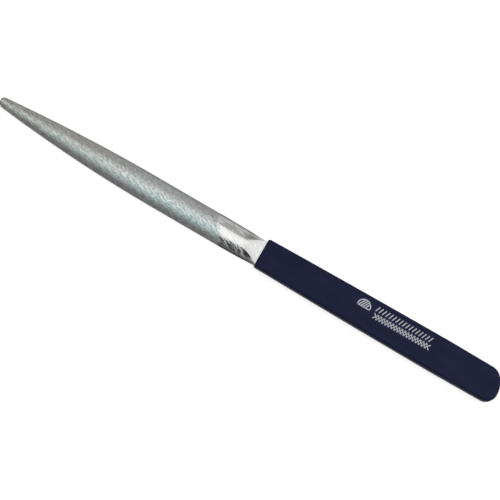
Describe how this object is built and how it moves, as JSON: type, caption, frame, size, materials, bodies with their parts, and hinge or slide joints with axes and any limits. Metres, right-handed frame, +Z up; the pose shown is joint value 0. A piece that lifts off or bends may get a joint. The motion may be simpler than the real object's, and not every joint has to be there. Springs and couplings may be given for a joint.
{
  "type": "half round file",
  "caption": "Half round hand file: toothed steel blade with a smooth heel, its flat tang coated in a rounded vinyl grip.",
  "frame": {"origin": "on the surface the file lies on, under the middle of its box", "axes": "+X from the tip to the end of the grip, +Z up out of the round back"},
  "size_m": [0.215, 0.0138, 0.0046],
  "materials": {
    "steel": "cut teeth, bright ground heel",
    "vinyl": "satin navy dip coat"
  },
  "bodies": {
    "root": {"blade_with_tang": "steel", "dipped_grip": "vinyl"}
  },
  "joints": []
}
